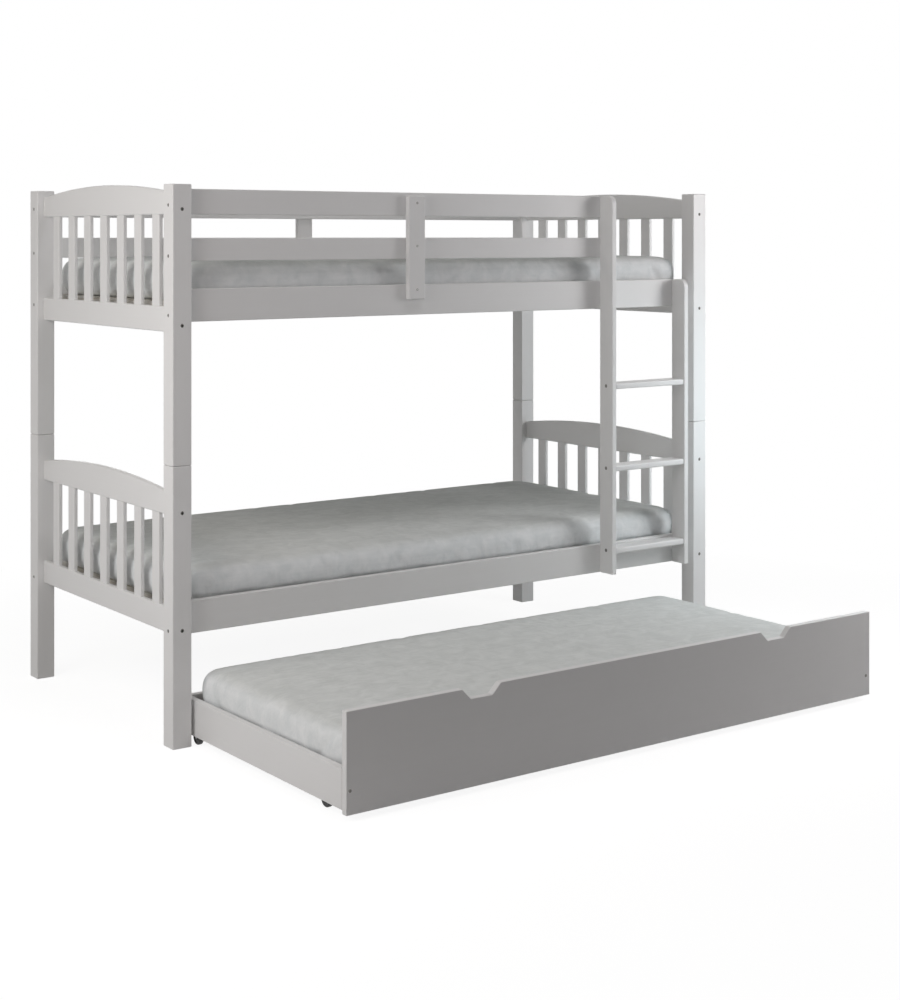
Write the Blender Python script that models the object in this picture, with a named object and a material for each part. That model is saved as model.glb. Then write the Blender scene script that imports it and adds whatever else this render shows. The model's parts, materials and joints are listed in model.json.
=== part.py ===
"""Bunk bed with two slatted bunks, a fixed ladder and a roll-out trundle.

Metres, +Z up. X runs along the bed, the ladder and the trundle are on the
front (-Y). The origin is on the floor, in the middle of the bed together with
its trundle, which stands pulled out as far as TRUNDLE_LAP lets it.
"""

import math

import bmesh
import bpy
from mathutils import Matrix, Vector

# Gap left between pieces that touch, and play round pieces that turn or slot in
FIT = 0.0003
AXLE_PLAY = 0.0003

# Bed as a whole
BED_LENGTH = 1.978
BED_DEPTH = 0.977
BED_HEIGHT = 1.520

# Corner posts, each in two halves with a steel dowel across the joint
POST_WIDTH = 0.057
POST_JOINT_HEIGHT = 0.760
POST_EDGE = 0.003
DOWEL_RADIUS = 0.006
DOWEL_LENGTH = 0.080

# Long rails: their front face lies behind the face of the posts
RAIL_THICKNESS = 0.020
RAIL_SETBACK = 0.028
RAIL_EDGE = 0.003
SIDE_RAIL_HEIGHT = 0.090
UNDER_RAIL_SPACE = 0.299
TOP_GUARD_DROP = 0.012
TOP_GUARD_HEIGHT = 0.070
GUARD_GAP = 0.064
MIDDLE_GUARD_HEIGHT = 0.063
GUARD_TO_RAIL_GAP = 0.075

# Uprights screwed over the guard rails
SUPPORT_WIDTH = 0.058
SUPPORT_THICKNESS = 0.020
SUPPORT_TOP_DROP = 0.011
SUPPORT_FOOT_RISE = 0.046

# End panels
END_BOARD_THICKNESS = 0.018
END_BOARD_HEIGHT = 0.070
END_BOARD_EDGE = 0.005
END_WINDOW_HEIGHT = 0.2505
ARCH_END_HEIGHT = 0.061
ARCH_RISE = 0.028
ARCH_STEPS = 18
END_SLAT_COUNT = 7
END_SLAT_WIDTH = 0.044
END_SLAT_THICKNESS = 0.012
END_SLAT_TENON = 0.010

# Ladder
LADDER_WIDTH = 0.333
LADDER_TO_POST = 0.054
STILE_THICKNESS = 0.018
STILE_DEPTH = 0.060
STILE_CORNER = 0.024
STILE_EDGE = 0.002
RUNG_COUNT = 3
RUNG_PITCH = 0.263
RUNG_DEPTH = 0.057
RUNG_THICKNESS = 0.019
RUNG_EDGE = 0.004
LOWEST_RUNG_RISE = 0.065

# Slatted bases and the cleats that carry them
CLEAT_WIDTH = 0.020
CLEAT_HEIGHT = 0.025
CLEAT_EDGE = 0.0015
SLAT_WIDTH = 0.068
SLAT_THICKNESS = 0.014
SLAT_END_GAP = 0.003
BUNK_SLAT_COUNT = 14
TRUNDLE_SLAT_COUNT = 12
STRAP_WIDTH = 0.030
STRAP_THICKNESS = 0.0015
STRAP_BITE = 0.0005
STRAP_INSET = 0.170
STRAP_END_INSET = 0.017
UPPER_SLAT_RISE = 0.051
LOWER_SLAT_RISE = 0.058

# Mattresses
MATTRESS_SIDE_GAP = 0.006
MATTRESS_END_GAP = 0.0205
LOWER_MATTRESS_SHIFT = -0.008
MATTRESS_EDGE_HEIGHT = 0.110
MATTRESS_ROLL = 0.044
MATTRESS_UPRIGHT = 0.044
MATTRESS_CROWN = 0.008
MATTRESS_CORNER = 0.062
CROWN_REACH = 0.300
CROWN_CORNER = 0.014

# Trundle
TRUNDLE_SIDE_PLAY = 0.010
TRUNDLE_DEPTH = 0.838
TRUNDLE_LAP = 0.080
TRUNDLE_BOARD_THICKNESS = 0.020
TRUNDLE_BOARD_HEIGHT = 0.098
TRUNDLE_BOARD_EDGE = 0.002
FASCIA_HEADROOM = 0.037
FASCIA_SKIRT = 0.009
GRIP_OFFSET = 0.523
GRIP_TOP_WIDTH = 0.120
GRIP_FLOOR_WIDTH = 0.067
GRIP_DEPTH = 0.027
GRIP_CORNER = 0.009
TRUNDLE_CLEAT_RISE = 0.021
TRUNDLE_MATTRESS_GAP = 0.004
TRUNDLE_MATTRESS_FREE_END = 0.064

# Fixed casters under the trundle
WHEEL_RADIUS = 0.020
WHEEL_WIDTH = 0.014
WHEEL_SHOULDER = 0.003
WHEEL_DISH = 0.0015
WHEEL_RIM = 0.005
HUB_RADIUS = 0.008
AXLE_RADIUS = 0.003
AXLE_TO_BOARD = 0.0047
WHEEL_SIDE_GAP = 0.0008
WHEEL_ROOM = 0.0015
FRONT_WHEEL_UNDER_BOARD = 0.001
BACK_WHEEL_UNDER_BOARD = 0.0115
BRACKET_THICKNESS = 0.0025
BRACKET_WIDTH = 0.036
BRACKET_RISE = 0.036
BRACKET_FOOT = 0.007
BRACKET_CORNER = 0.0035
SPACER_WIDTH = 0.026
SPACER_TOP_DROP = 0.002
FRONT_WHEEL_INSET = 0.126
BACK_WHEEL_INSET = 0.070

# Counts of the facets that stand for curves
ROUND_SIDES = 24
PIN_SIDES = 16
CORNER_STEPS = 5
EDGE_STEPS = 2
FOOT_STEPS = 4
ROLL_STEPS = 5
CROWN_STEPS = 4
LENGTH_STEPS = 10
WIDTH_STEPS = 5

# Angles, in degrees, past which an edge is rounded or stays sharp to the eye
ROUNDED_ANGLE = 40
SHARP_ANGLE = 30
SOFT_SHARP_ANGLE = 60

# Places that several pieces share
HALF_LENGTH = BED_LENGTH / 2
HALF_DEPTH = BED_DEPTH / 2
POST_INNER_X = HALF_LENGTH - POST_WIDTH
POST_INNER_Y = HALF_DEPTH - POST_WIDTH
RAIL_OUTER_Y = HALF_DEPTH - RAIL_SETBACK
RAIL_INNER_Y = RAIL_OUTER_Y - RAIL_THICKNESS
LOWER_RAIL_TOP = UNDER_RAIL_SPACE + SIDE_RAIL_HEIGHT
TOP_GUARD_TOP = BED_HEIGHT - TOP_GUARD_DROP
TOP_GUARD_BOTTOM = TOP_GUARD_TOP - TOP_GUARD_HEIGHT
MIDDLE_GUARD_TOP = TOP_GUARD_BOTTOM - GUARD_GAP
MIDDLE_GUARD_BOTTOM = MIDDLE_GUARD_TOP - MIDDLE_GUARD_HEIGHT
UPPER_RAIL_TOP = MIDDLE_GUARD_BOTTOM - GUARD_TO_RAIL_GAP
UPPER_RAIL_BOTTOM = UPPER_RAIL_TOP - SIDE_RAIL_HEIGHT
UPPER_END_BOTTOM = TOP_GUARD_BOTTOM - END_WINDOW_HEIGHT - END_BOARD_HEIGHT
LADDER_RIGHT = POST_INNER_X - LADDER_TO_POST
LADDER_LEFT = LADDER_RIGHT - LADDER_WIDTH
TRUNDLE_HALF_LENGTH = POST_INNER_X - TRUNDLE_SIDE_PLAY
TRUNDLE_INNER_X = TRUNDLE_HALF_LENGTH - TRUNDLE_BOARD_THICKNESS
TRUNDLE_INNER_BACK = TRUNDLE_DEPTH - TRUNDLE_BOARD_THICKNESS
TRUNDLE_REACH = TRUNDLE_DEPTH - TRUNDLE_LAP
TRUNDLE_BOARD_BOTTOM = WHEEL_RADIUS + AXLE_TO_BOARD
WHEEL_ROWS = {"front": (FRONT_WHEEL_INSET, FRONT_WHEEL_UNDER_BOARD),
              "back": (TRUNDLE_DEPTH - BACK_WHEEL_INSET, BACK_WHEEL_UNDER_BOARD)}

# Signs of the two ends and of the two long sides
ENDS = {"left": -1, "right": 1}
SIDES = {"front": -1, "back": 1}


def clear_scene():
    """Remove every object of the file that the script runs in."""
    for item in list(bpy.data.objects):
        bpy.data.objects.remove(item, do_unlink=True)


def make_material(name, colour, roughness, metallic=0.0):
    """Make a plain material from its colour and finish."""
    material = bpy.data.materials.new(name)
    material.use_nodes = True
    shader = material.node_tree.nodes["Principled BSDF"]
    shader.inputs["Base Color"].default_value = (*colour, 1.0)
    shader.inputs["Roughness"].default_value = roughness
    shader.inputs["Metallic"].default_value = metallic
    return material


def make_frame(name, location):
    """Make the empty that a group of pieces hangs on."""
    frame = bpy.data.objects.new(name, None)
    frame.location = location
    bpy.context.collection.objects.link(frame)
    return frame


def mesh_from(bm, name):
    """Turn a bmesh into a mesh whose faces point out."""
    bmesh.ops.recalc_face_normals(bm, faces=bm.faces)
    mesh = bpy.data.meshes.new(name)
    bm.to_mesh(mesh)
    bm.free()
    return mesh


def place(name, mesh, frame, location, material, turn=0.0):
    """Put a piece in the scene, hung on its frame."""
    piece = bpy.data.objects.new(name, mesh)
    piece.location = location
    piece.rotation_euler = (0.0, 0.0, turn)
    piece.parent = frame
    bpy.context.collection.objects.link(piece)
    if not mesh.materials:
        mesh.materials.append(material)
    return piece


def finished(mesh, edge=0.0, cuts=(), joins=()):
    """Round a mesh's edges, then cut and join other meshes, and return the result."""
    work = bpy.data.objects.new("work", mesh)
    bpy.context.collection.objects.link(work)
    if edge:
        bevel = work.modifiers.new("edges", "BEVEL")
        bevel.width = edge
        bevel.segments = EDGE_STEPS
        bevel.limit_method = "ANGLE"
        bevel.angle_limit = math.radians(ROUNDED_ANGLE)
    tools = []
    for operation, meshes in (("UNION", joins), ("DIFFERENCE", cuts)):
        for tool_mesh in meshes:
            tool = bpy.data.objects.new("tool", tool_mesh)
            bpy.context.collection.objects.link(tool)
            boolean = work.modifiers.new("boolean", "BOOLEAN")
            boolean.operation = operation
            boolean.object = tool
            tools.append(tool)
    depsgraph = bpy.context.evaluated_depsgraph_get()
    result = bpy.data.meshes.new_from_object(work.evaluated_get(depsgraph))
    result.name = mesh.name
    for item in (work, *tools):
        bpy.data.objects.remove(item, do_unlink=True)
    result.shade_smooth()
    result.set_sharp_from_angle(angle=math.radians(SHARP_ANGLE))
    return result


def add_box(bm, x, y, z):
    """Add a box to a bmesh from its low and high value on each axis."""
    low = Vector((x[0], y[0], z[0]))
    high = Vector((x[1], y[1], z[1]))
    scale = Matrix.Diagonal((*(high - low), 1.0))
    bmesh.ops.create_cube(bm, size=1.0, matrix=Matrix.Translation((low + high) / 2) @ scale)


def boxes_mesh(name, boxes):
    """Make one mesh of several boxes."""
    bm = bmesh.new()
    for box in boxes:
        add_box(bm, *box)
    return mesh_from(bm, name)


def board(name, frame, x, y, z, material, edge, notches=()):
    """Place a board with rounded edges and box-shaped notches, its origin at its centre."""
    centre = Vector((sum(x), sum(y), sum(z))) / 2
    half = [(high - low) / 2 for low, high in (x, y, z)]
    mesh = boxes_mesh(name, [[(-size, size) for size in half]])
    cuts = []
    for notch in notches:
        spans = [(low - middle, high - middle) for (low, high), middle in zip(notch, centre)]
        cuts.append(boxes_mesh("notch", [spans]))
    return place(name, finished(mesh, edge, cuts), frame, centre, material)


def mirrored(span, sign):
    """Mirror a span of values to the negative side where the sign is negative."""
    return tuple(sorted((sign * span[0], sign * span[1])))


def rounded_outline(corners):
    """Return an outline whose corners, given with their radii, are arcs."""
    points = []
    for index, (corner, radius) in enumerate(corners):
        corner = Vector(corner)
        if radius == 0.0:
            points.append(corner)
            continue
        before = (Vector(corners[index - 1][0]) - corner).normalized()
        after = (Vector(corners[(index + 1) % len(corners)][0]) - corner).normalized()
        half_angle = before.angle(after) / 2
        centre = corner + (before + after).normalized() * radius / math.sin(half_angle)
        start = corner + before * radius / math.tan(half_angle) - centre
        end = corner + after * radius / math.tan(half_angle) - centre
        turn = start.angle_signed(end)
        for step in range(CORNER_STEPS + 1):
            angle = -turn * step / CORNER_STEPS
            points.append(centre + Matrix.Rotation(angle, 2) @ start)
    return points


def prism(name, outline, axis, low, high):
    """Extrude an outline along X, where it is given in Y and Z, or along Y, in X and Z."""
    bm = bmesh.new()
    places = [(low, u, v) if axis == "X" else (u, low, v) for u, v in outline]
    face = bm.faces.new([bm.verts.new(point) for point in places])
    swept = bmesh.ops.extrude_face_region(bm, geom=[face])
    moved = [item for item in swept["geom"] if isinstance(item, bmesh.types.BMVert)]
    step = high - low
    bmesh.ops.translate(bm, vec=(step, 0, 0) if axis == "X" else (0, step, 0), verts=moved)
    return mesh_from(bm, name)


def rod_mesh(name, radius, low, high, axis, sides=PIN_SIDES):
    """Make a round rod along Z or X, between two places on its axis."""
    bm = bmesh.new()
    turn = Matrix.Rotation(math.radians(90), 4, "Y") if axis == "X" else Matrix.Identity(4)
    shift = Matrix.Translation((0, 0, (low + high) / 2))
    bmesh.ops.create_cone(bm, cap_ends=True, segments=sides, radius1=radius, radius2=radius,
                          depth=high - low, matrix=turn @ shift)
    return mesh_from(bm, name)


def add_posts(bed, paint, steel):
    """Place the eight post halves and the dowels that join them."""
    half = POST_WIDTH / 2
    hole_radius = DOWEL_RADIUS + FIT
    hole_depth = DOWEL_LENGTH / 2 + FIT
    tiers = {
        "lower": ((0.0, POST_JOINT_HEIGHT - FIT / 2), (-hole_depth, hole_depth)),
        "upper": ((POST_JOINT_HEIGHT + FIT / 2, BED_HEIGHT), (-hole_depth, hole_depth)),
    }
    for tier, (heights, hole) in tiers.items():
        local = tuple(height - POST_JOINT_HEIGHT for height in heights)
        stick = boxes_mesh(f"{tier}_post", [((-half, half), (-half, half), local)])
        bore = rod_mesh("bore", hole_radius, *hole, "Z")
        mesh = finished(stick, POST_EDGE, cuts=[bore])
        for side, front in SIDES.items():
            for end, left in ENDS.items():
                spot = (left * (HALF_LENGTH - half), front * (HALF_DEPTH - half), POST_JOINT_HEIGHT)
                place(f"{tier}_post_{side}_{end}", mesh, bed, spot, paint)
    dowel = finished(rod_mesh("dowel", DOWEL_RADIUS, -DOWEL_LENGTH / 2, DOWEL_LENGTH / 2, "Z"))
    for side, front in SIDES.items():
        for end, left in ENDS.items():
            spot = (left * (HALF_LENGTH - half), front * (HALF_DEPTH - half), POST_JOINT_HEIGHT)
            place(f"post_dowel_{side}_{end}", dowel, bed, spot, steel)


def end_slat_centres():
    """Return the places of an end panel's slats, with equal gaps between them."""
    gap = (2 * POST_INNER_Y - END_SLAT_COUNT * END_SLAT_WIDTH) / (END_SLAT_COUNT + 1)
    first = -POST_INNER_Y + gap + END_SLAT_WIDTH / 2
    return [first + index * (gap + END_SLAT_WIDTH) for index in range(END_SLAT_COUNT)]


def slat_boxes(low, high, play):
    """Return the boxes of an end panel's slats between two heights, with play all round."""
    half_width = END_SLAT_WIDTH / 2 + play
    half_thickness = END_SLAT_THICKNESS / 2 + play
    return [((-half_thickness, half_thickness), (centre - half_width, centre + half_width), (low, high))
            for centre in end_slat_centres()]


def arch_outline():
    """Return the outline of the arched board, in Y and Z from the middle of its lower edge."""
    reach = POST_INNER_Y - FIT
    radius = (reach ** 2 + ARCH_RISE ** 2) / (2 * ARCH_RISE)
    spread = math.asin(reach / radius)
    centre_height = ARCH_END_HEIGHT + ARCH_RISE - radius
    outline = [(-reach, 0.0), (reach, 0.0)]
    for step in range(ARCH_STEPS + 1):
        angle = spread * (1 - 2 * step / ARCH_STEPS)
        outline.append((radius * math.sin(angle), centre_height + radius * math.cos(angle)))
    return outline


def add_end_panels(bed, paint):
    """Place the four end panels, each an arched board and a slatted lower part."""
    half = END_BOARD_THICKNESS / 2
    reach = POST_INNER_Y - FIT
    arch_height = END_BOARD_HEIGHT + END_WINDOW_HEIGHT
    arch = prism("arched_board", arch_outline(), "X", -half, half)
    mortises = boxes_mesh("mortises", slat_boxes(-END_SLAT_TENON, END_SLAT_TENON + FIT, FIT))
    arch = finished(arch, END_BOARD_EDGE, cuts=[mortises])
    low_board = boxes_mesh("slat_panel", [((-half, half), (-reach, reach), (0.0, END_BOARD_HEIGHT))])
    slat_foot = END_BOARD_HEIGHT - END_SLAT_TENON
    slats = boxes_mesh("slats", slat_boxes(slat_foot, arch_height + END_SLAT_TENON, 0.0))
    low_board = finished(low_board, END_BOARD_EDGE, joins=[slats])
    for tier, base in (("lower", UNDER_RAIL_SPACE), ("upper", UPPER_END_BOTTOM)):
        for end, left in ENDS.items():
            x = left * (HALF_LENGTH - POST_WIDTH / 2)
            place(f"{tier}_{end}_end_slats", low_board, bed, (x, 0, base), paint)
            place(f"{tier}_{end}_end_arch", arch, bed, (x, 0, base + arch_height), paint)


def add_rails(bed, paint):
    """Place the side rails and the guard rails between the posts."""
    full = (-POST_INNER_X + FIT, POST_INNER_X - FIT)
    to_ladder = (-POST_INNER_X + FIT, LADDER_LEFT + STILE_THICKNESS)
    for side, front in SIDES.items():
        y = mirrored((RAIL_INNER_Y, RAIL_OUTER_Y), front)
        guard = to_ladder if side == "front" else full
        levels = {
            f"lower_{side}_side_rail": (full, (UNDER_RAIL_SPACE, LOWER_RAIL_TOP)),
            f"upper_{side}_side_rail": (full, (UPPER_RAIL_BOTTOM, UPPER_RAIL_TOP)),
            f"{side}_middle_guard_rail": (guard, (MIDDLE_GUARD_BOTTOM, MIDDLE_GUARD_TOP)),
            f"{side}_top_guard_rail": (guard, (TOP_GUARD_BOTTOM, TOP_GUARD_TOP)),
        }
        for name, (x, z) in levels.items():
            board(name, bed, x, y, z, paint, RAIL_EDGE)
        middle = sum(guard) / 2
        support_x = (middle - SUPPORT_WIDTH / 2, middle + SUPPORT_WIDTH / 2)
        support_y = mirrored((RAIL_OUTER_Y + FIT, RAIL_OUTER_Y + FIT + SUPPORT_THICKNESS), front)
        support_z = (UPPER_RAIL_BOTTOM + SUPPORT_FOOT_RISE, TOP_GUARD_TOP - SUPPORT_TOP_DROP)
        board(f"{side}_guard_support", bed, support_x, support_y, support_z, paint, RAIL_EDGE)


def add_ladder(bed, paint):
    """Place the two stiles, which stand on the face of the rails, and the rungs."""
    back = -RAIL_OUTER_Y - FIT
    front = back - STILE_DEPTH
    tops = {"left": TOP_GUARD_TOP, "right": UPPER_RAIL_TOP}
    lefts = {"left": LADDER_LEFT, "right": LADDER_RIGHT - STILE_THICKNESS}
    for end, top in tops.items():
        outline = rounded_outline([((back, UNDER_RAIL_SPACE), 0.0), ((front, UNDER_RAIL_SPACE), 0.0),
                                   ((front, top), STILE_CORNER), ((back, top), 0.0)])
        mesh = prism(f"ladder_{end}_stile", outline, "X", 0.0, STILE_THICKNESS)
        place(mesh.name, finished(mesh, STILE_EDGE), bed, (lefts[end], 0, 0), paint)
    x = (LADDER_LEFT + STILE_THICKNESS + FIT, LADDER_RIGHT - STILE_THICKNESS - FIT)
    middle = (front + back) / 2
    y = (middle - RUNG_DEPTH / 2, middle + RUNG_DEPTH / 2)
    for index in range(RUNG_COUNT):
        bottom = UNDER_RAIL_SPACE + LOWEST_RUNG_RISE + index * RUNG_PITCH
        z = (bottom, bottom + RUNG_THICKNESS)
        board(f"ladder_rung_{index + 1}", bed, x, y, z, paint, RUNG_EDGE)


def slat_base(name, frame, x, y, top, count, material):
    """Place a roll of slats that two stapled straps hold at equal gaps."""
    pitch = (x[1] - x[0] - SLAT_WIDTH) / (count - 1)
    starts = [x[0] + index * pitch for index in range(count)]
    slats = [((start, start + SLAT_WIDTH), y, (-SLAT_THICKNESS, 0.0)) for start in starts]
    strap_x = (x[0] + STRAP_END_INSET, x[1] - STRAP_END_INSET)
    straps = []
    for place_y in (y[0] + STRAP_INSET, y[1] - STRAP_INSET):
        strap_y = (place_y - STRAP_WIDTH / 2, place_y + STRAP_WIDTH / 2)
        straps.append((strap_x, strap_y, (-STRAP_BITE, STRAP_THICKNESS)))
    mesh = finished(boxes_mesh(name, slats), joins=[boxes_mesh("straps", straps)])
    return place(name, mesh, frame, (0, 0, top), material)


def ring_points(half_x, half_y, corner):
    """Return a rounded rectangle with the same number of points whatever its size."""
    points = []
    centres = [(half_x - corner, half_y - corner), (corner - half_x, half_y - corner),
               (corner - half_x, corner - half_y), (half_x - corner, corner - half_y)]
    for index, (cx, cy) in enumerate(centres):
        for step in range(CORNER_STEPS):
            angle = math.radians(90) * (index + step / (CORNER_STEPS - 1))
            points.append((cx + corner * math.cos(angle), cy + corner * math.sin(angle)))
        last = points[-1]
        follow = centres[(index + 1) % len(centres)]
        turn = math.radians(90) * (index + 1)
        first = (follow[0] + corner * math.cos(turn), follow[1] + corner * math.sin(turn))
        count = WIDTH_STEPS if index % 2 else LENGTH_STEPS
        for step in range(1, count):
            share = step / count
            points.append((last[0] + share * (first[0] - last[0]), last[1] + share * (first[1] - last[1])))
    return points


def mattress_profile():
    """Return inset and height pairs: rolled foot, upright side, rolled upper edge and crown."""
    shoulder = MATTRESS_EDGE_HEIGHT - MATTRESS_ROLL
    foot_roll = shoulder - MATTRESS_UPRIGHT
    profile = []
    for step in range(FOOT_STEPS + 1):
        angle = math.radians(90) * step / FOOT_STEPS
        profile.append((foot_roll * (1 - math.sin(angle)), foot_roll * (1 - math.cos(angle))))
    for step in range(ROLL_STEPS + 1):
        angle = math.radians(90) * step / ROLL_STEPS
        profile.append((MATTRESS_ROLL * (1 - math.cos(angle)), shoulder + MATTRESS_ROLL * math.sin(angle)))
    for step in range(1, CROWN_STEPS + 1):
        share = step / CROWN_STEPS
        inset = MATTRESS_ROLL + share * (CROWN_REACH - MATTRESS_ROLL)
        profile.append((inset, MATTRESS_EDGE_HEIGHT + MATTRESS_CROWN * (1 - (1 - share) ** 2)))
    return profile


def mattress(name, frame, x, y, bottom, material):
    """Place a mattress with a crown and full rolled sides."""
    half_x = (x[1] - x[0]) / 2
    half_y = (y[1] - y[0]) / 2
    bm = bmesh.new()
    rings = []
    for inset, height in mattress_profile():
        corner = max(MATTRESS_CORNER - inset, CROWN_CORNER)
        outline = ring_points(half_x - inset, half_y - inset, corner)
        rings.append([bm.verts.new((px, py, height)) for px, py in outline])
    for low, high in zip(rings, rings[1:]):
        count = len(low)
        for index in range(count):
            after = (index + 1) % count
            bm.faces.new((low[index], low[after], high[after], high[index]))
    bm.faces.new(list(reversed(rings[0])))
    bm.faces.new(rings[-1])
    mesh = mesh_from(bm, name)
    mesh.shade_smooth()
    mesh.set_sharp_from_angle(angle=math.radians(SOFT_SHARP_ANGLE))
    return place(name, mesh, frame, (sum(x) / 2, sum(y) / 2, bottom), material)


def add_bunks(bed, paint, pine, fabric):
    """Place the cleats, the slatted base and the mattress of each bunk."""
    cleat_x = (-POST_INNER_X + FIT, POST_INNER_X - FIT)
    end_board_x = HALF_LENGTH - POST_WIDTH / 2 - END_BOARD_THICKNESS / 2
    slat_x = (-POST_INNER_X + SLAT_END_GAP, POST_INNER_X - SLAT_END_GAP)
    slat_y = (-RAIL_INNER_Y + SLAT_END_GAP, RAIL_INNER_Y - SLAT_END_GAP)
    bed_x = (-end_board_x + MATTRESS_END_GAP, end_board_x - MATTRESS_END_GAP)
    bed_y = (-RAIL_INNER_Y + MATTRESS_SIDE_GAP, RAIL_INNER_Y - MATTRESS_SIDE_GAP)
    tiers = {"lower": UNDER_RAIL_SPACE + LOWER_SLAT_RISE, "upper": UPPER_RAIL_BOTTOM + UPPER_SLAT_RISE}
    for tier, top in tiers.items():
        cleat_top = top - SLAT_THICKNESS - FIT
        for side, front in SIDES.items():
            y = mirrored((RAIL_INNER_Y - FIT - CLEAT_WIDTH, RAIL_INNER_Y - FIT), front)
            z = (cleat_top - CLEAT_HEIGHT, cleat_top)
            board(f"{tier}_{side}_cleat", bed, cleat_x, y, z, paint, CLEAT_EDGE)
        slat_base(f"{tier}_slat_base", bed, slat_x, slat_y, top, BUNK_SLAT_COUNT, pine)
        shift = LOWER_MATTRESS_SHIFT if tier == "lower" else 0.0
        tier_x = (bed_x[0] + shift, bed_x[1] + shift)
        mattress(f"{tier}_mattress", bed, tier_x, bed_y, top + STRAP_THICKNESS + FIT, fabric)


def fascia_outline(bottom, top):
    """Return the outline of the trundle's front board with its two hand grips."""
    corners = [((-TRUNDLE_HALF_LENGTH, bottom), 0.0), ((TRUNDLE_HALF_LENGTH, bottom), 0.0),
               ((TRUNDLE_HALF_LENGTH, top), 0.0)]
    for centre in (GRIP_OFFSET, -GRIP_OFFSET):
        corners.append(((centre + GRIP_TOP_WIDTH / 2, top), GRIP_CORNER))
        corners.append(((centre + GRIP_FLOOR_WIDTH / 2, top - GRIP_DEPTH), GRIP_CORNER))
        corners.append(((centre - GRIP_FLOOR_WIDTH / 2, top - GRIP_DEPTH), GRIP_CORNER))
        corners.append(((centre - GRIP_TOP_WIDTH / 2, top), GRIP_CORNER))
    corners.append(((-TRUNDLE_HALF_LENGTH, top), 0.0))
    return rounded_outline(corners)


def add_trundle(trundle, paint, pine, fabric):
    """Place the trundle's box, its slatted base and its mattress."""
    bottom = TRUNDLE_BOARD_BOTTOM
    z = (bottom, bottom + TRUNDLE_BOARD_HEIGHT)
    inner_front = TRUNDLE_BOARD_THICKNESS + FIT
    outline = fascia_outline(bottom - FASCIA_SKIRT, UNDER_RAIL_SPACE - FASCIA_HEADROOM)
    fascia = prism("trundle_fascia", outline, "Y", 0.0, TRUNDLE_BOARD_THICKNESS)
    place(fascia.name, finished(fascia, TRUNDLE_BOARD_EDGE), trundle, (0, 0, 0), paint)
    notch_z = (0.0, 2 * WHEEL_RADIUS + WHEEL_ROOM)
    notch_reach = WHEEL_RADIUS + WHEEL_ROOM
    for end, left in ENDS.items():
        x = mirrored((TRUNDLE_INNER_X, TRUNDLE_HALF_LENGTH), left)
        notches = []
        for row, under_board in WHEEL_ROWS.values():
            notch_x = mirrored((0.0, TRUNDLE_INNER_X + under_board + WHEEL_SIDE_GAP), left)
            notches.append((notch_x, (row - notch_reach, row + notch_reach), notch_z))
        board(f"trundle_{end}_side", trundle, x, (inner_front, TRUNDLE_DEPTH), z, paint,
              TRUNDLE_BOARD_EDGE, notches)
    inner_x = (-TRUNDLE_INNER_X + FIT, TRUNDLE_INNER_X - FIT)
    board("trundle_back", trundle, inner_x, (TRUNDLE_INNER_BACK, TRUNDLE_DEPTH), z, paint,
          TRUNDLE_BOARD_EDGE)
    cleat_z = (bottom + TRUNDLE_CLEAT_RISE, bottom + TRUNDLE_CLEAT_RISE + CLEAT_HEIGHT)
    front_y = (inner_front, inner_front + CLEAT_WIDTH)
    back_y = (TRUNDLE_INNER_BACK - FIT - CLEAT_WIDTH, TRUNDLE_INNER_BACK - FIT)
    board("trundle_front_cleat", trundle, inner_x, front_y, cleat_z, paint, CLEAT_EDGE)
    board("trundle_back_cleat", trundle, inner_x, back_y, cleat_z, paint, CLEAT_EDGE)
    slat_top = cleat_z[1] + FIT + SLAT_THICKNESS
    slat_x = (-TRUNDLE_INNER_X + SLAT_END_GAP, TRUNDLE_INNER_X - SLAT_END_GAP)
    slat_y = (TRUNDLE_BOARD_THICKNESS + SLAT_END_GAP, TRUNDLE_INNER_BACK - SLAT_END_GAP)
    slat_base("trundle_slat_base", trundle, slat_x, slat_y, slat_top, TRUNDLE_SLAT_COUNT, pine)
    bed_x = (-TRUNDLE_INNER_X + TRUNDLE_MATTRESS_GAP, TRUNDLE_INNER_X - TRUNDLE_MATTRESS_FREE_END)
    bed_y = (TRUNDLE_BOARD_THICKNESS + TRUNDLE_MATTRESS_GAP, TRUNDLE_INNER_BACK - TRUNDLE_MATTRESS_GAP)
    mattress("trundle_mattress", trundle, bed_x, bed_y, slat_top + STRAP_THICKNESS + FIT, fabric)


def wheel_mesh():
    """Make a caster wheel round the X axis, with a bore for its axle."""
    half = WHEEL_WIDTH / 2
    bore = AXLE_RADIUS + AXLE_PLAY
    rim = WHEEL_RADIUS - WHEEL_RIM
    side = [(half, bore), (half, HUB_RADIUS), (half - WHEEL_DISH, HUB_RADIUS + WHEEL_DISH),
            (half - WHEEL_DISH, rim - WHEEL_DISH), (half, rim), (half, WHEEL_RADIUS - WHEEL_SHOULDER),
            (half - WHEEL_SHOULDER, WHEEL_RADIUS)]
    profile = side + [(-x, radius) for x, radius in reversed(side)]
    bm = bmesh.new()
    rings = []
    for step in range(ROUND_SIDES):
        turn = Matrix.Rotation(math.tau * step / ROUND_SIDES, 3, "X")
        rings.append([bm.verts.new(turn @ Vector((x, 0.0, -radius))) for x, radius in profile])
    count = len(profile)
    for step, ring in enumerate(rings):
        follow = rings[(step + 1) % ROUND_SIDES]
        for index in range(count):
            after = (index + 1) % count
            bm.faces.new((ring[index], ring[after], follow[after], follow[index]))
    return finished(mesh_from(bm, "trundle_wheel"))


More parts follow.
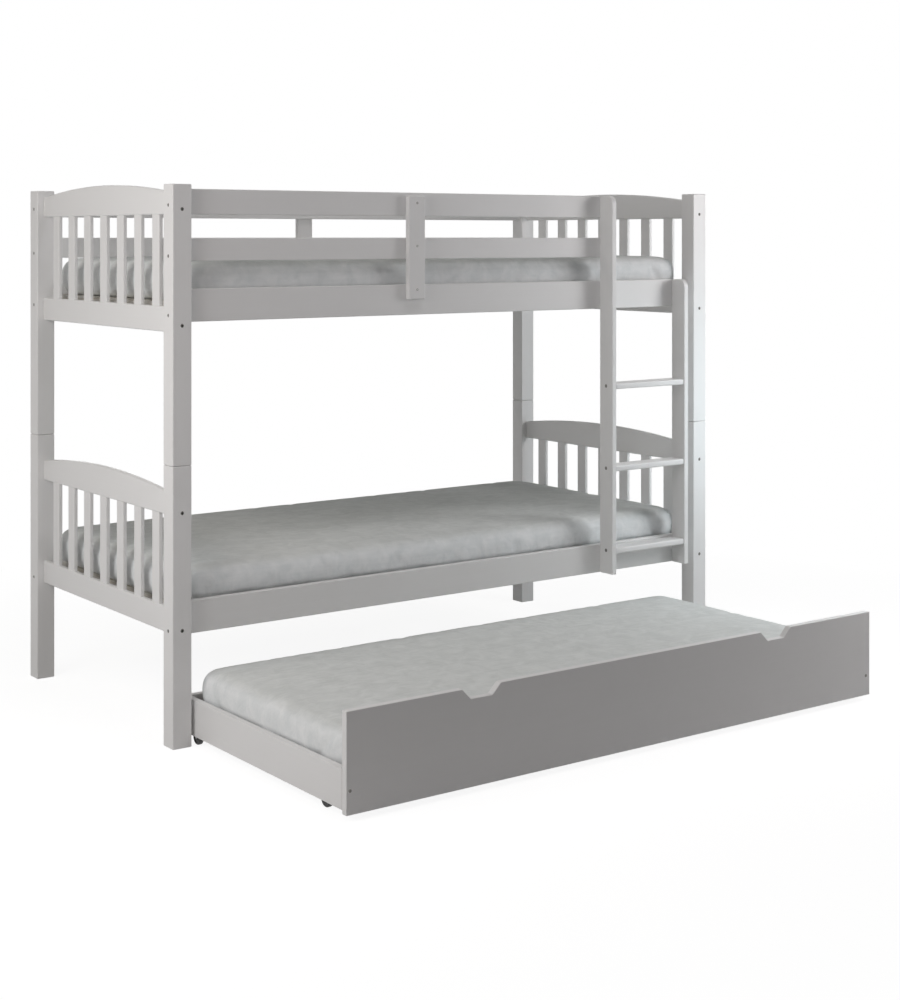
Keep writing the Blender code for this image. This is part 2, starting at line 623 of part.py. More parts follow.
def bracket_mesh(to_board):
    """Make the bracket with its fixed axle, for the left side, from the axle's centre."""
    plate_outer = WHEEL_WIDTH / 2 + WHEEL_SIDE_GAP
    plate_middle = plate_outer + BRACKET_THICKNESS / 2
    half = BRACKET_WIDTH / 2
    toe = BRACKET_FOOT
    outline = rounded_outline([((-half, BRACKET_RISE), 0.0), ((-toe, -toe), BRACKET_CORNER),
                               ((toe, -toe), BRACKET_CORNER), ((half, BRACKET_RISE), 0.0)])
    plate = prism("trundle_bracket", outline, "X", plate_outer, plate_outer + BRACKET_THICKNESS)
    spacer = boxes_mesh("spacer", [((FIT - to_board, plate_middle),
                                    (-SPACER_WIDTH / 2, SPACER_WIDTH / 2),
                                    (WHEEL_RADIUS + WHEEL_ROOM, BRACKET_RISE - SPACER_TOP_DROP))])
    axle = rod_mesh("axle", AXLE_RADIUS, FIT - plate_outer, plate_middle, "X")
    return finished(plate, joins=[spacer, axle])


def add_casters(trundle, steel, plastic):
    """Place the four fixed casters, let in a little under the trundle's side boards."""
    wheel = wheel_mesh()
    for side, (y, under_board) in WHEEL_ROWS.items():
        to_board = WHEEL_WIDTH / 2 - under_board
        bracket = bracket_mesh(to_board)
        for end, left in ENDS.items():
            spot = (left * (TRUNDLE_INNER_X - to_board), y, WHEEL_RADIUS)
            turn = math.pi if end == "right" else 0.0
            place(f"trundle_bracket_{side}_{end}", bracket, trundle, spot, steel, turn)
            place(f"trundle_wheel_{side}_{end}", wheel, trundle, spot, plastic)


def main():
    """Build the whole bed."""
    clear_scene()
    paint = make_material("white_paint", (0.80, 0.80, 0.79), 0.45)
    pine = make_material("pine", (0.74, 0.71, 0.66), 0.6)
    fabric = make_material("mattress_fabric", (0.62, 0.65, 0.65), 0.9)
    steel = make_material("zinc_steel", (0.60, 0.60, 0.62), 0.35, 1.0)
    plastic = make_material("black_plastic", (0.02, 0.02, 0.02), 0.4)
    bed_front = (TRUNDLE_REACH - BED_DEPTH) / 2
    bed = make_frame("bed_frame", (0, bed_front + HALF_DEPTH, 0))
    trundle = make_frame("trundle_frame", (0, bed_front - TRUNDLE_REACH, 0))
    add_posts(bed, paint, steel)
    add_end_panels(bed, paint)
    add_rails(bed, paint)
    add_ladder(bed, paint)
    add_bunks(bed, paint, pine, fabric)
    add_trundle(trundle, paint, pine, fabric)
    add_casters(trundle, steel, plastic)


main()
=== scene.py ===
"""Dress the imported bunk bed: lacquer, pine, padding, hardware, lamps and camera.

Metres, +Z up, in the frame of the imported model: X runs along the bed, and the
ladder and the trundle are on the front, towards -Y.
"""

import json
import math

import bmesh
import bpy
from mathutils import Matrix, Vector, noise

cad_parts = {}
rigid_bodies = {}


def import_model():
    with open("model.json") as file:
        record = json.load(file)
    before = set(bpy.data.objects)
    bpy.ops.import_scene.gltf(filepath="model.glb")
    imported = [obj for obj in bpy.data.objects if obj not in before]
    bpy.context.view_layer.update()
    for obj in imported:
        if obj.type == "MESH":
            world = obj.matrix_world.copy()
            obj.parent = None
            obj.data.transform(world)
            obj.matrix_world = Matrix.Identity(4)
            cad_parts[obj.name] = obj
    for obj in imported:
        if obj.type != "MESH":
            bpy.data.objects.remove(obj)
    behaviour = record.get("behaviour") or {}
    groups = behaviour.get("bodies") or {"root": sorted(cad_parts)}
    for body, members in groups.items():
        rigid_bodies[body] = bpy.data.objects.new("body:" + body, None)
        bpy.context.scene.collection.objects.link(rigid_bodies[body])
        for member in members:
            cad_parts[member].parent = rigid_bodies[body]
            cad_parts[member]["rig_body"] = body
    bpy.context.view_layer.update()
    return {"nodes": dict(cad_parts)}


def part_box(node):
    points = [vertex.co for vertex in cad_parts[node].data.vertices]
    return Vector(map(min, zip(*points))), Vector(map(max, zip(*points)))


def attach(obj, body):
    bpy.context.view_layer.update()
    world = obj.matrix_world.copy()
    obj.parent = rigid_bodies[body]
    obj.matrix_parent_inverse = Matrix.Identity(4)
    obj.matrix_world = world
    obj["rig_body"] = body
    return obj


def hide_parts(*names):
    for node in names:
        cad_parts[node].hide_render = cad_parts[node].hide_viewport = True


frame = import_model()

# Camera, level, with the horizon raised by its shift
CAMERA_PLACE = (-3.112, -4.2956, 1.3786)
CAMERA_HEADING = -36.0
CAMERA_LENS = 62.244
CAMERA_SHIFT = -0.2637
CAMERA_REACH = 200.0

# Painted boards: the angles in degrees from which an edge stays sharp and under which faces are one,
# the distance within which points are one, and the rounding and the make-up of the end panels
SHARP_ANGLE = 50
MERGE = 0.00001
FLAT_ANGLE = 0.3
BOARD_EDGE = 0.005
SLAT_EDGE = 0.0025
EDGE_STEPS = 3
END_SLAT_COUNT = 7
END_SLAT_WIDTH = 0.044
END_SLAT_THICKNESS = 0.012
END_SLAT_TENON = 0.009
END_BOARD_HEIGHT = 0.070

# Sides of round heads and of hex sockets, and the angle from which their edges stay sharp
HEAD_SIDES = 24
SOCKET_SIDES = 6
HARDWARE_SHARP_ANGLE = 35
# Material slot of the sockets and cross recesses, which mostly take a darker steel as painted shade
RECESS_INDEX = 1

# Bolts that hold the rails and the end boards, sunk in the outer faces of the posts.
# The rounding gives shares of the head's radius and of its dome's height.
BOLT_HOLE_RADIUS = 0.0056
BOLT_HOLE_DEPTH = 0.0035
BOLT_HEAD_RADIUS = 0.0052
BOLT_SUNK = 0.0005
BOLT_DOME = 0.0008
BOLT_ROUNDING = ((1.0, -1.0), (0.92, -0.35), (0.80, 0.0))
BOLT_SOCKET_RADIUS = 0.0038
BOLT_SOCKET_DEPTH = 0.0028
RAIL_BOLT_HEIGHTS = (1.463, 1.3255, 1.165, 0.315)
END_BOLT_HEIGHTS = (1.452, 1.138, 0.6335, 0.317)

# Countersunk screws
SCREW_RADIUS = 0.0036
SCREW_PROUD = 0.0003
SCREW_DOME = 0.0004
SCREW_CROSS = 0.55
SCREW_CROSS_ARM = 0.20
SCREW_CROSS_DEPTH = 0.0014
SCREW_SHANK = 0.002
SCREW_NECK = 0.5
SCREW_FLAT = 0.75
SUPPORT_SCREW_HEIGHTS = (1.477, 1.350, 1.221)
FASCIA_SCREW_HEIGHT = 0.074
FASCIA_SCREW_X = (-0.912, 0.905)
FASCIA_SCREW_RADIUS = 0.0046
LADDER_SCREW_RADIUS = 0.0055

# Slatted bases: slats, the two straps on them, and the staples through the straps
SLAT_WIDTH = 0.068
SLAT_ROUNDING = 0.002
BUNK_SLAT_COUNT = 14
TRUNDLE_SLAT_COUNT = 12
STRAP_WIDTH = 0.030
STRAP_THICKNESS = 0.0015
STRAP_INSET = 0.170
STRAP_END_INSET = 0.017
STAPLE_SPAN = 0.011
STAPLE_WIRE = 0.0011
STAPLE_PROUD = 0.00015

# Mattresses: how far they keep inside their solids, their rounded corners and rolled edges, the crown
# of the top, the cell of their mesh, the puckers of the sides, the raised corners and the end creases
MATTRESS_SHRINK = 0.002
MATTRESS_CORNER = 0.062
MATTRESS_ROLL = 0.044
MATTRESS_FOOT_ROLL = 0.042
MATTRESS_ROLL_STEPS = 8
MATTRESS_CROWN = 0.008
MATTRESS_CROWN_REACH = 0.300
MATTRESS_CELL = 0.013
PUCKER_PITCH = 0.105
PUCKER_DEPTH = 0.0020
PUCKER_FADE = 0.4
EAR_RISE = 0.003
EAR_REACH = 0.070
CREASE_INSET = 0.118
CREASE_WIDTH = 0.011
CREASE_DEPTH = 0.006
CREASE_SLANTS = {"lower": 0.06, "upper": 0.06, "trundle": -0.10}

# How far a face has to turn from level before it counts as side, and over how much more it fades in; the
# sides so found are painted paler, as painted light
SIDE_SHARE_LEVEL = 0.95
SIDE_SHARE_FADE = 0.35

# Cloth step: its frames, the cap on each point's movement, and how firmly the foot and the top are held
SWELL_FRAMES = 20
SWELL_CAP = 0.0015
HELD_FOOT_SHARE = 0.04
HELD_TOP_SHARE = 0.9
HELD_TOP_RIM = 0.03
HELD_TOP_FADE = 0.10
HELD_TOP_WEIGHT = 0.6
CLOTH_SETTINGS = {
    "vertex_group_mass": "held", "pin_stiffness": 0.4, "quality": 5, "mass": 0.25,
    "tension_stiffness": 12, "compression_stiffness": 12, "shear_stiffness": 4, "bending_stiffness": 0.4,
    "use_pressure": True, "uniform_pressure_force": 3.0, "shrink_min": -0.010,
}

# Casters. The profile gives places across and out from the axle on one half of a wheel's section:
# the bore, the hub, the dished web, the rim and the rounded tread.
WHEEL_STEPS = 64
WHEEL_SHARP_ANGLE = 40
WHEEL_PROFILE = (
    (0.0070, 0.0033), (0.0070, 0.0065), (0.0066, 0.0073), (0.0052, 0.0087), (0.0050, 0.0099),
    (0.0050, 0.0132), (0.0054, 0.0142), (0.0067, 0.0150), (0.0070, 0.0156), (0.0070, 0.0166),
    (0.0064, 0.0182), (0.0052, 0.0194), (0.0038, 0.0200),
)
CASTER_SCREW_RADIUS = 0.0026
CASTER_SCREW_OFFSET = 0.009
CASTER_SCREW_RISE = 0.028

# Floor: its size, the distances over which it fades to white, and its tones for other rays and for the camera
FLOOR_RADIUS = 40.0
FLOOR_STEPS = 96
FLOOR_FADE_START = 1.2
FLOOR_FADE_END = 2.6
FLOOR_MATTE = (0.70, 0.70, 0.70, 1.0)
FLOOR_SHADE = (0.22, 0.22, 0.22, 1.0)
FLOOR_GLOW = 0.90

# Level of the even light from all round
FILL_LEVEL = 0.02

# Each lamp's place, the place it looks at, its size in metres, its watts and its colour
LAMPS = {
    "left_mid": ((-2.8, -0.6, 1.5), (-0.9, -0.18, 0.7), 1.2, 18.5, (1.0, 1.0, 1.0)),
    "left_high": ((-2.8, 0.4, 2.6), (-0.9, 0.12, 0.7), 1.2, 10.8, (1.0, 0.93, 0.86)),
    "left_near": ((-2.1, -1.2, 1.6), (-0.9, -0.36, 0.7), 0.7, 3.6, (1.0, 0.88, 0.84)),
    "left_back": ((-2.4, 1.6, 0.5), (-0.9, 0.2, 0.5), 0.9, 2.3, (1.0, 0.97, 0.94)),
    "right_near": ((2.1, -1.3, 1.6), (0.9, -0.26, 0.8), 0.7, 15.9, (1.0, 0.96, 0.96)),
    "right_close": ((1.4, -0.5, 0.8), (0.9, -0.1, 0.8), 0.7, 2.9, (0.80, 0.95, 1.0)),
    "right_corner": ((1.4, -1.3, 0.8), (0.9, -0.26, 0.8), 0.7, 1.1, (1.0, 1.0, 1.0)),
    "top_front": ((0.0, -1.5, 3.8), (0.0, -0.75, 0.0), 1.2, 17.7, (1.0, 0.98, 1.0)),
    "top_mid": ((0.0, 0.4, 3.8), (0.0, 0.4, 0.6), 1.6, 6.5, (1.0, 1.0, 0.97)),
    "back": ((0.4, 3.6, 0.9), (0.0, 0.5, 0.8), 2.0, 19.0, (1.0, 1.0, 1.0)),
}

# Signs of the two ends and of the two long sides
ENDS = {"left": -1, "right": 1}
SIDES = {"front": -1, "back": 1}


def make_node(tree, kind, inputs=None, **options):
    """Add a shader node, set its options, and set or link its inputs."""
    node = tree.nodes.new(kind)
    for key, value in options.items():
        setattr(node, key, value)
    for key, value in (inputs or {}).items():
        if isinstance(value, bpy.types.NodeSocket):
            tree.links.new(value, node.inputs[key])
        else:
            node.inputs[key].default_value = value
    return node


def new_material(name):
    """Start a material, and return it with its nodes and its main shader."""
    material = bpy.data.materials.new(name)
    material.use_nodes = True
    tree = material.node_tree
    return material, tree, tree.nodes["Principled BSDF"]


def set_shader(tree, shader, inputs):
    """Set or link the inputs of a material's main shader."""
    for key, value in inputs.items():
        if isinstance(value, bpy.types.NodeSocket):
            tree.links.new(value, shader.inputs[key])
        else:
            shader.inputs[key].default_value = value


def object_place(tree):
    """Return the object coordinates."""
    return make_node(tree, "ShaderNodeTexCoord").outputs["Object"]


def stretched(tree, axis, along, across):
    """Return object coordinates drawn out along one axis, for grain and brush marks."""
    scale = [across] * 3
    scale["XYZ".index(axis)] = along
    return make_node(tree, "ShaderNodeMapping", {"Vector": object_place(tree), "Scale": scale}).outputs[0]


def calculated(tree, operation, first, second=0.0):
    """Return the result of a calculation with one or two values."""
    return make_node(tree, "ShaderNodeMath", {0: first, 1: second}, operation=operation).outputs[0]


def blended(tree, factor, first, second, blend="MIX"):
    """Return a blend of two colours."""
    return make_node(tree, "ShaderNodeMix", {"Factor": factor, 6: first, 7: second}, data_type="RGBA",
                     blend_type=blend).outputs[2]


def seen_rays(tree):
    """Return 1 for rays from the camera, in reflections and through glass, and 0 for all others."""
    rays = make_node(tree, "ShaderNodeLightPath").outputs
    seen = calculated(tree, "MAXIMUM", rays["Is Camera Ray"], rays["Is Glossy Ray"])
    return calculated(tree, "MAXIMUM", seen, rays["Is Transmission Ray"])


def noise_value(tree, vector, scale, detail=3.0, roughness=0.5, distortion=0.0):
    """Return the value of a noise pattern."""
    settings = {"Vector": vector, "Scale": scale, "Detail": detail, "Roughness": roughness,
                "Distortion": distortion}
    return make_node(tree, "ShaderNodeTexNoise", settings).outputs["Fac"]


def remapped(tree, value, low, high, start=0.3, end=0.7):
    """Map a pattern's value to a range."""
    settings = {"Value": value, "From Min": start, "From Max": end, "To Min": low, "To Max": high}
    return make_node(tree, "ShaderNodeMapRange", settings).outputs[0]


def ramp(tree, value, stops):
    """Colour a value by a ramp of places and colours."""
    node = make_node(tree, "ShaderNodeValToRGB", {"Fac": value})
    elements = node.color_ramp.elements
    while len(elements) < len(stops):
        elements.new(0.5)
    for element, (place, colour) in zip(elements, stops):
        element.position = place
        element.color = (*colour, 1.0)
    return node.outputs["Color"]


def bump(tree, height, strength, distance, normal=None):
    """Raise a surface by a pattern, on top of an earlier bump if one is given."""
    settings = {"Height": height, "Strength": strength, "Distance": distance}
    if normal is not None:
        settings["Normal"] = normal
    return make_node(tree, "ShaderNodeBump", settings).outputs["Normal"]


def white_lacquer(axis):
    """Satin white lacquer on pine, with the grain just showing along one axis."""
    material, tree, shader = new_material(f"white_lacquer_{axis.lower()}")
    place = object_place(tree)
    fibres = noise_value(tree, stretched(tree, axis, 3.0, 130.0), 1.0, 4.0, 0.6)
    clouds = noise_value(tree, place, 4.0, 3.0, 0.55)
    orange_peel = noise_value(tree, place, 420.0, 2.0)
    tone = make_node(tree, "ShaderNodeMix", {"Factor": 0.6, "A": fibres, "B": clouds}).outputs[0]
    colour = ramp(tree, tone, [(0.30, (0.800, 0.795, 0.790)), (0.70, (0.818, 0.816, 0.813))])
    relief = bump(tree, fibres, 0.06, 0.0003)
    relief = bump(tree, orange_peel, 0.10, 0.0001, relief)
    gloss = remapped(tree, clouds, 0.38, 0.50)
    set_shader(tree, shader, {"Base Color": colour, "Roughness": gloss, "Normal": relief,
                              "Coat Weight": 0.15, "Coat Roughness": 0.30})
    return material


def washed_pine():
    """White-stained pine of the slats, with rings drawn out along Y and a few knots."""
    material, tree, shader = new_material("white_stained_pine")
    along = stretched(tree, "Y", 0.9, 16.0)
    rings = noise_value(tree, along, 1.6, 3.0, 0.5, 1.4)
    waves = calculated(tree, "SINE", calculated(tree, "MULTIPLY", rings, 42.0))
    fibres = noise_value(tree, stretched(tree, "Y", 6.0, 420.0), 1.0, 3.0, 0.6)
    knots = make_node(tree, "ShaderNodeTexVoronoi", {"Vector": stretched(tree, "Y", 2.6, 7.0), "Scale": 1.0},
                      feature="F1").outputs["Distance"]
    wood = ramp(tree, remapped(tree, waves, 0.0, 1.0, -1.0, 1.0),
                [(0.0, (0.76, 0.74, 0.70)), (0.6, (0.74, 0.71, 0.66)), (0.86, (0.69, 0.65, 0.58)),
                 (1.0, (0.64, 0.59, 0.51))])
    fleck = ramp(tree, fibres, [(0.3, (0.86, 0.86, 0.86)), (0.7, (1.0, 1.0, 1.0))])
    wood = blended(tree, 0.7, wood, fleck, "MULTIPLY")
    in_knot = remapped(tree, knots, 1.0, 0.0, 0.03, 0.07)
    wood = blended(tree, in_knot, wood, (0.48, 0.40, 0.31, 1.0))
    relief = bump(tree, fibres, 0.35, 0.0005)
    set_shader(tree, shader, {"Base Color": wood, "Roughness": remapped(tree, fibres, 0.52, 0.68),
                              "Normal": relief})
    return material


def weave_height(tree, place, pitch):
    """Return the height of a plain weave on faces that look along any axis."""
    parts = make_node(tree, "ShaderNodeSeparateXYZ", {0: place}).outputs
    waves = [calculated(tree, "SINE", calculated(tree, "MULTIPLY", part, math.tau / pitch)) for part in parts]
    first, second, third = [calculated(tree, "MULTIPLY", waves[one], waves[other])
                            for one, other in ((0, 1), (1, 2), (0, 2))]
    return calculated(tree, "ADD", calculated(tree, "ADD", first, second), third)


def mattress_cover():
    """Brushed ticking, gathered round the sides, with painted light: the top is painted greyer and the sides
    paler and bluer, as the light falls on them.
    """
    material, tree, shader = new_material("brushed_ticking")
    place = object_place(tree)
    side_share = make_node(tree, "ShaderNodeAttribute", attribute_name="side_share").outputs["Fac"]
    streaks = noise_value(tree, stretched(tree, "X", 9.0, 150.0), 1.0, 4.0, 0.65)
    blotches = noise_value(tree, place, 20.0, 4.0, 0.60, 0.8)
    lint = noise_value(tree, place, 700.0, 2.0)
    weave = weave_height(tree, place, 0.0022)
    gathers = noise_value(tree, stretched(tree, "Z", 8.0, 21.0), 1.0, 2.0, 0.50)
    gathers = calculated(tree, "MULTIPLY", gathers, side_share)
    tone = make_node(tree, "ShaderNodeMix", {"Factor": 0.65, "A": streaks, "B": blotches}).outputs[0]
    mottle = make_node(tree, "ShaderNodeMix", {"Factor": 0.25, "A": blotches, "B": streaks}).outputs[0]
    # Painted light: the top's greyer colour is painted shade, and the sides' paler, bluer colour is painted
    # light
    shaded_top = ramp(tree, tone, [(0.36, (0.705, 0.728, 0.714)), (0.64, (0.815, 0.836, 0.824))])
    side = ramp(tree, mottle, [(0.34, (0.795, 0.828, 0.836)), (0.66, (0.945, 0.962, 0.966))])
    colour = blended(tree, side_share, shaded_top, side)
    relief = bump(tree, weave, 0.20, 0.0003)
    relief = bump(tree, lint, 0.30, 0.0003, relief)
    relief = bump(tree, blotches, 0.30, 0.0042, relief)
    relief = bump(tree, gathers, 0.70, 0.0060, relief)
    set_shader(tree, shader, {"Base Color": colour, "Roughness": remapped(tree, lint, 0.82, 0.95),
                              "Normal": relief, "Specular IOR Level": 0.15})
    return material


def strap_webbing():
    """Coarse white webbing that ties the slats together."""
    material, tree, shader = new_material("strap_webbing")
    place = object_place(tree)
    ribs = weave_height(tree, place, 0.0030)
    fuzz = noise_value(tree, place, 600.0, 2.0)
    colour = ramp(tree, fuzz, [(0.3, (0.60, 0.58, 0.53)), (0.7, (0.72, 0.70, 0.66))])
    relief = bump(tree, ribs, 0.5, 0.0004)
    set_shader(tree, shader, {"Base Color": colour, "Roughness": remapped(tree, fuzz, 0.75, 0.9),
                              "Normal": relief})
    return material


def zinc_plate():
    """Zinc-plated steel of the brackets, bolts, screws and staples."""
    material, tree, shader = new_material("zinc_plate")
    place = object_place(tree)
    bloom = noise_value(tree, place, 160.0, 3.0, 0.6)
    scratches = noise_value(tree, stretched(tree, "Z", 60.0, 1600.0), 1.0, 2.0)
    colour = ramp(tree, bloom, [(0.3, (0.50, 0.50, 0.51)), (0.7, (0.64, 0.64, 0.66))])
    relief = bump(tree, scratches, 0.10, 0.0001)
    set_shader(tree, shader, {"Base Color": colour, "Metallic": 1.0, "Normal": relief,
                              "Roughness": remapped(tree, bloom, 0.28, 0.48)})
    return material


def oxide_or_socket_shade(name, dark, light):
    """Oxide finish of the bolt and screw heads, or a darker steel for their sockets that is painted shade in
    the hollows.
    """
    material, tree, shader = new_material(name)
    place = object_place(tree)
    bloom = noise_value(tree, place, 300.0, 3.0, 0.6)
    colour = ramp(tree, bloom, [(0.3, dark), (0.7, light)])
    set_shader(tree, shader, {"Base Color": colour, "Metallic": 0.7,
                              "Roughness": remapped(tree, bloom, 0.35, 0.55)})
    return material


def black_moulding():
    """Moulded black plastic of the wheels, a little scuffed on the tread."""
    material, tree, shader = new_material("moulded_black_plastic")
    place = object_place(tree)
    grain = noise_value(tree, place, 1200.0, 2.0)
    scuffs = noise_value(tree, place, 90.0, 4.0, 0.65)
    colour = ramp(tree, scuffs, [(0.45, (0.016, 0.016, 0.017)), (0.80, (0.055, 0.053, 0.050))])
    relief = bump(tree, grain, 0.25, 0.0001)
    set_shader(tree, shader, {"Base Color": colour, "Roughness": remapped(tree, scuffs, 0.34, 0.60),
                              "Normal": relief})
    return material


def body_name(node):
    """Return the body that a CAD node belongs to."""
    return frame["nodes"][node]["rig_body"]


def to_mesh(bm, name, sharp=SHARP_ANGLE):
    """Turn a bmesh into a smoothly shaded mesh that stays sharp at its real corners."""
    mesh = bpy.data.meshes.new(name)
    bm.to_mesh(mesh)
    bm.free()
    mesh.shade_smooth()
    mesh.set_sharp_from_angle(angle=math.radians(sharp))
    return mesh


def make_piece(name, mesh, materials, body, replaced=()):
    """Put a finished mesh in the scene as a piece that rides on a body."""
    piece = bpy.data.objects.new(name, mesh)
    bpy.context.scene.collection.objects.link(piece)
    mesh.materials.clear()
    for material in materials:
        mesh.materials.append(material)
    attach(piece, body)
    if replaced:
        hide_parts(*replaced)
    return piece


def even_shading(piece):
    """Shade wide faces flat, so that only the narrow rounded edges turn the light."""
    weighted = piece.modifiers.new("even_shading", "WEIGHTED_NORMAL")
    weighted.keep_sharp = True
    weighted.weight = 100


def add_block(bm, low, high, edge=0.0, steps=EDGE_STEPS, index=0):
    """Add a block between two corners to a bmesh, its edges rounded if a radius is given."""
    low, high = Vector(low), Vector(high)
    scale = Matrix.Diagonal((*(high - low), 1.0))
    made = bmesh.ops.create_cube(bm, size=1.0, matrix=Matrix.Translation((low + high) / 2) @ scale)
    edges = list(dict.fromkeys(link for vert in made["verts"] for link in vert.link_edges))
    faces = {face for vert in made["verts"] for face in vert.link_faces}
    if edge:
        rounded = bmesh.ops.bevel(bm, geom=edges, offset=edge, segments=steps, profile=0.5,
                                  affect="EDGES", material=-1)
        faces = {face for vert in rounded["verts"] for face in vert.link_faces}
    for face in faces:
        if face.is_valid:
            face.material_index = index


def merged_copy(node):
    """Copy a CAD node's loose triangles into a bmesh of clean joined faces."""
    bm = bmesh.new()
    bm.from_mesh(frame["nodes"][node].data)
    bmesh.ops.remove_doubles(bm, verts=bm.verts, dist=MERGE)
    bmesh.ops.dissolve_limit(bm, angle_limit=math.radians(FLAT_ANGLE), verts=bm.verts, edges=bm.edges)
    return bm


def longest_axis(node):
    """Return the axis that a board runs along."""
    low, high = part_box(node)
    size = high - low
    return "XYZ"[max(range(3), key=lambda index: size[index])]


def drilled(mesh, drills):
    """Cut drills, given as one mesh, from a mesh and return the result."""
    work = bpy.data.objects.new("work", mesh)
    tool = bpy.data.objects.new("tool", drills)
    for item in (work, tool):
        bpy.context.scene.collection.objects.link(item)
    boolean = work.modifiers.new("holes", "BOOLEAN")
    boolean.operation = "DIFFERENCE"
    boolean.object = tool
    depsgraph = bpy.context.evaluated_depsgraph_get()
    result = bpy.data.meshes.new_from_object(work.evaluated_get(depsgraph))
    for item in (work, tool):
        bpy.data.objects.remove(item, do_unlink=True)
    result.name = mesh.name
    result.shade_smooth()
    result.set_sharp_from_angle(angle=math.radians(SHARP_ANGLE))
    return result


def facing(place, outward):
    """Return the transform that turns +Z to a direction and moves to a place."""
    turn = Vector(outward).to_track_quat("Z", "Y").to_matrix().to_4x4()
    return Matrix.Translation(place) @ turn


def post_bolt_places(node):
    """Return the place and the outward direction of each bolt in a post."""
    low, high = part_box(node)
    middle = (low + high) / 2
    end = "left" if node.endswith("left") else "right"
    side = "front" if "_front_" in node else "back"
    face_x = low.x if end == "left" else high.x
    face_y = low.y if side == "front" else high.y
    places = []
    for height in RAIL_BOLT_HEIGHTS:
        if low.z < height < high.z:
            places.append(((face_x, middle.y, height), (ENDS[end], 0, 0)))
    for height in END_BOLT_HEIGHTS:
        if low.z < height < high.z:
            places.append(((middle.x, face_y, height), (0, SIDES[side], 0)))
    return places


def add_ring(bm, turn, sides, radius, height):
    """Add a ring of points round a head's axis, at a height over its centre, and return them."""
    matrix = turn @ Matrix.Translation((0, 0, height))
    return bmesh.ops.create_circle(bm, segments=sides, radius=radius, matrix=matrix)["verts"]


def join_rings(bm, rings):
    """Bridge rings of points, close both ends, and mark the last ring's hollow as recess, for the recess
    material that mostly paints shade.
    """
    loops = []
    for ring in rings:
        members = set(ring)
        loops.append(list(dict.fromkeys(edge for vert in ring for edge in vert.link_edges
                                        if edge.other_vert(vert) in members)))
    for low, high in zip(loops, loops[1:]):
        made = bmesh.ops.bridge_loops(bm, edges=low + high)["faces"]
    bmesh.ops.edgeloop_fill(bm, edges=loops[0])
    made += bmesh.ops.edgeloop_fill(bm, edges=loops[-1])["faces"]
    for face in made:
        face.material_index = RECESS_INDEX


def add_bolt(bm, place, outward):
    """Add a bolt head with a hex socket, sunk below a face."""
    turn = facing(Vector(place) - Vector(outward) * BOLT_SUNK, outward)
    levels = [(1.0, BOLT_SUNK - BOLT_HOLE_DEPTH)]
    levels += [(share, rise * BOLT_DOME) for share, rise in BOLT_ROUNDING]
    rings = [add_ring(bm, turn, HEAD_SIDES, BOLT_HEAD_RADIUS * share, height) for share, height in levels]
    rings += [add_ring(bm, turn, SOCKET_SIDES, BOLT_SOCKET_RADIUS, height)
              for height in (0.0, -BOLT_SOCKET_DEPTH)]
    join_rings(bm, rings)


def add_screw(bm, place, outward, radius=SCREW_RADIUS):
    """Add a countersunk head with a cross recess, almost flush with a face."""
    turn = facing(place, outward)
    top = SCREW_PROUD + SCREW_DOME
    levels = ((SCREW_NECK, -SCREW_SHANK), (1.0, 0.0), (1.0, SCREW_PROUD), (SCREW_FLAT, top))
    rings = [add_ring(bm, turn, HEAD_SIDES, radius * share, height) for share, height in levels]
    arm, reach = radius * SCREW_CROSS_ARM, radius * SCREW_CROSS
    cross = [(arm, arm), (arm, reach), (-arm, reach), (-arm, arm), (-reach, arm), (-reach, -arm),
             (-arm, -arm), (-arm, -reach), (arm, -reach), (arm, -arm), (reach, -arm), (reach, arm)]
    for height in (top, SCREW_PROUD - SCREW_CROSS_DEPTH):
        ring = add_ring(bm, turn, len(cross), reach, 0.0)
        for vert, (x, y) in zip(ring, cross):
            vert.co = turn @ Vector((x, y, height))
        rings.append(ring)
    join_rings(bm, rings)


def finish_hardware(name, bm, steel, recess, body):
    """Turn gathered bolt or screw heads into one piece, whose recesses take the second material, mostly a
    darker steel that is painted shade.
    """
    bmesh.ops.recalc_face_normals(bm, faces=bm.faces)
    return make_piece(name, to_mesh(bm, name, HARDWARE_SHARP_ANGLE), [steel, recess], body)


def dress_posts(lacquer, head_steel, socket_shade_steel):
    """Drill the posts for their bolts, and set a sunk head in each hole."""
    heads = bmesh.new()
    for tier in ("lower", "upper"):
        for side in SIDES:
            for end in ENDS:
                node = f"{tier}_post_{side}_{end}"
                drills = bmesh.new()
                for place, outward in post_bolt_places(node):
                    bmesh.ops.create_cone(drills, cap_ends=True, segments=HEAD_SIDES,
                                          radius1=BOLT_HOLE_RADIUS, radius2=BOLT_HOLE_RADIUS,
                                          depth=2 * BOLT_HOLE_DEPTH, matrix=facing(place, outward))
                    add_bolt(heads, place, outward)
                post = drilled(to_mesh(merged_copy(node), f"{node}_wood"), to_mesh(drills, "drills"))
                even_shading(make_piece(f"{node}_wood", post, [lacquer["Z"]], "bed", [node]))
    finish_hardware("post_bolts", heads, head_steel, socket_shade_steel, "bed")


def dress_boards(lacquer):
    """Give each plain board its lacquer on a copy whose rounded edges shade smoothly."""
    boards = [node for node in frame["nodes"]
              if any(word in node for word in ("rail", "stile", "rung", "support", "cleat", "arch",
                                               "fascia", "trundle_left_side", "trundle_right_side",
                                               "trundle_back"))]
    for node in boards:
        mesh = to_mesh(merged_copy(node), f"{node}_wood")
        piece = make_piece(f"{node}_wood", mesh, [lacquer[longest_axis(node)]], body_name(node),
                           [node])
        even_shading(piece)


